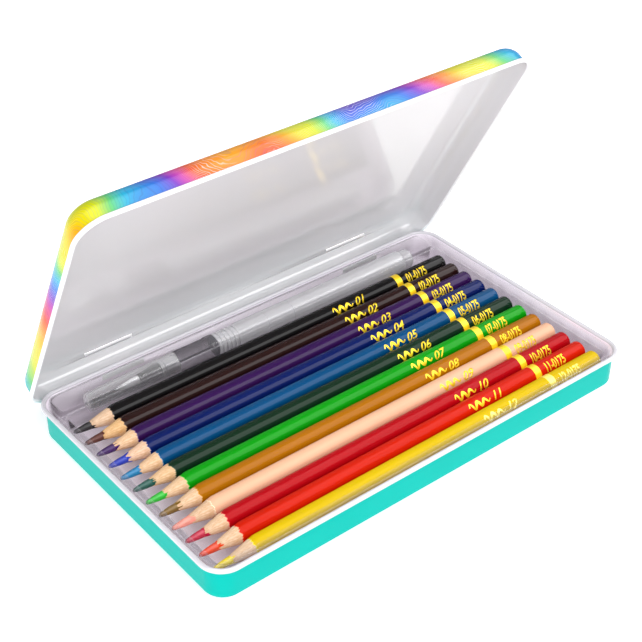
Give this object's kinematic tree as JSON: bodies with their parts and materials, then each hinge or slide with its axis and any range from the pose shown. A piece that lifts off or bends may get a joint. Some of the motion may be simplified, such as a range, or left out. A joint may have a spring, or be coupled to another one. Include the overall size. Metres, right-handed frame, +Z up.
{
  "type": "pencil tin",
  "caption": "Open hinged tin of colored pencils lying side by side in a clear tray, with a water brush in the rear channel.",
  "frame": {"origin": "centre of the base tin's flat underside", "axes": "+X from the pencils' points to their blunt ends, +Y to the hinges, +Z up"},
  "size_m": [0.192, 0.1221, 0.1134],
  "materials": {
    "base_enamel": "gloss",
    "lid_print": "gloss",
    "hinge_steel": "satin",
    "pin_steel": "satin",
    "tray_clear": "gloss",
    "cap_clear": "gloss",
    "bristle_white": "satin",
    "ferrule_smoke": "gloss",
    "nozzle_clear": "gloss",
    "grip_smoke": "gloss",
    "reservoir_clear": "gloss",
    "plug_clear": "gloss",
    "black_lacquer": "gloss",
    "black_core": "matte",
    "brown_lacquer": "gloss",
    "brown_core": "matte",
    "violet_lacquer": "gloss",
    "violet_core": "matte",
    "navy_lacquer": "gloss",
    "navy_core": "matte",
    "blue_lacquer": "gloss",
    "blue_core": "matte",
    "teal_lacquer": "gloss",
    "teal_core": "matte",
    "green_lacquer": "gloss",
    "green_core": "matte",
    "ochre_lacquer": "gloss",
    "ochre_core": "matte",
    "peach_lacquer": "gloss",
    "peach_core": "matte",
    "red_lacquer": "gloss",
    "red_core": "matte",
    "orange_lacquer": "gloss",
    "orange_core": "matte",
    "yellow_lacquer": "gloss",
    "yellow_core": "matte"
  },
  "bodies": {
    "base": {"base_tin": "base_enamel", "base_hinge_leaf_left": "hinge_steel", "base_hinge_leaf_right": "hinge_steel", "hinge_pin_left": "pin_steel", "hinge_pin_right": "pin_steel"},
    "lid_body": {"lid": "lid_print", "lid_hinge_leaf_left": "hinge_steel", "lid_hinge_leaf_right": "hinge_steel"},
    "tray_body": {"tray": "tray_clear"},
    "black_pencil": {"black_pencil_barrel": "black_lacquer", "black_pencil_lead": "black_core"},
    "brown_pencil": {"brown_pencil_barrel": "brown_lacquer", "brown_pencil_lead": "brown_core"},
    "violet_pencil": {"violet_pencil_barrel": "violet_lacquer", "violet_pencil_lead": "violet_core"},
    "navy_pencil": {"navy_pencil_barrel": "navy_lacquer", "navy_pencil_lead": "navy_core"},
    "blue_pencil": {"blue_pencil_barrel": "blue_lacquer", "blue_pencil_lead": "blue_core"},
    "teal_pencil": {"teal_pencil_barrel": "teal_lacquer", "teal_pencil_lead": "teal_core"},
    "green_pencil": {"green_pencil_barrel": "green_lacquer", "green_pencil_lead": "green_core"},
    "ochre_pencil": {"ochre_pencil_barrel": "ochre_lacquer", "ochre_pencil_lead": "ochre_core"},
    "peach_pencil": {"peach_pencil_barrel": "peach_lacquer", "peach_pencil_lead": "peach_core"},
    "red_pencil": {"red_pencil_barrel": "red_lacquer", "red_pencil_lead": "red_core"},
    "orange_pencil": {"orange_pencil_barrel": "orange_lacquer", "orange_pencil_lead": "orange_core"},
    "yellow_pencil": {"yellow_pencil_barrel": "yellow_lacquer", "yellow_pencil_lead": "yellow_core"},
    "brush_handle": {"brush_reservoir": "reservoir_clear", "brush_end_plug": "plug_clear"},
    "brush_head": {"brush_grip": "grip_smoke", "brush_nozzle": "nozzle_clear", "brush_ferrule": "ferrule_smoke", "brush_bristles": "bristle_white"},
    "brush_cap_body": {"brush_cap": "cap_clear"}
  },
  "joints": [
    {"name": "lid_hinge", "type": "hinge", "parent": "base", "child": "lid_body", "pos_m": [0, 0.0589, 0.0087], "axis": [-1, 0, 0], "range_deg": [-62, 48]},
    {"name": "tray_lift", "type": "slide", "parent": "base", "child": "tray_body", "axis": [0, 0, 1], "range_m": [0, 0.018]},
    {"name": "black_pencil_lift", "type": "slide", "parent": "tray_body", "child": "black_pencil", "axis": [0, 0, 1], "range_m": [0, 0.04]},
    {"name": "brown_pencil_lift", "type": "slide", "parent": "tray_body", "child": "brown_pencil", "axis": [0, 0, 1], "range_m": [0, 0.04]},
    {"name": "violet_pencil_lift", "type": "slide", "parent": "tray_body", "child": "violet_pencil", "axis": [0, 0, 1], "range_m": [0, 0.04]},
    {"name": "navy_pencil_lift", "type": "slide", "parent": "tray_body", "child": "navy_pencil", "axis": [0, 0, 1], "range_m": [0, 0.04]},
    {"name": "blue_pencil_lift", "type": "slide", "parent": "tray_body", "child": "blue_pencil", "axis": [0, 0, 1], "range_m": [0, 0.04]},
    {"name": "teal_pencil_lift", "type": "slide", "parent": "tray_body", "child": "teal_pencil", "axis": [0, 0, 1], "range_m": [0, 0.04]},
    {"name": "green_pencil_lift", "type": "slide", "parent": "tray_body", "child": "green_pencil", "axis": [0, 0, 1], "range_m": [0, 0.04]},
    {"name": "ochre_pencil_lift", "type": "slide", "parent": "tray_body", "child": "ochre_pencil", "axis": [0, 0, 1], "range_m": [0, 0.04]},
    {"name": "peach_pencil_lift", "type": "slide", "parent": "tray_body", "child": "peach_pencil", "axis": [0, 0, 1], "range_m": [0, 0.04]},
    {"name": "red_pencil_lift", "type": "slide", "parent": "tray_body", "child": "red_pencil", "axis": [0, 0, 1], "range_m": [0, 0.04]},
    {"name": "orange_pencil_lift", "type": "slide", "parent": "tray_body", "child": "orange_pencil", "axis": [0, 0, 1], "range_m": [0, 0.04]},
    {"name": "yellow_pencil_lift", "type": "slide", "parent": "tray_body", "child": "yellow_pencil", "axis": [0, 0, 1], "range_m": [0, 0.04]},
    {"name": "brush_lift", "type": "slide", "parent": "tray_body", "child": "brush_handle", "axis": [0, 0, 1], "range_m": [0, 0.02]},
    {"name": "brush_head_turn", "type": "hinge", "parent": "brush_handle", "child": "brush_head", "pos_m": [-0.0208, 0.0481, 0.0088], "axis": [1, 0, 0], "range_deg": [0, 720]},
    {"name": "cap_pull", "type": "slide", "parent": "brush_head", "child": "brush_cap_body", "axis": [-1, 0, 0], "range_m": [0, 0.01]}
  ]
}
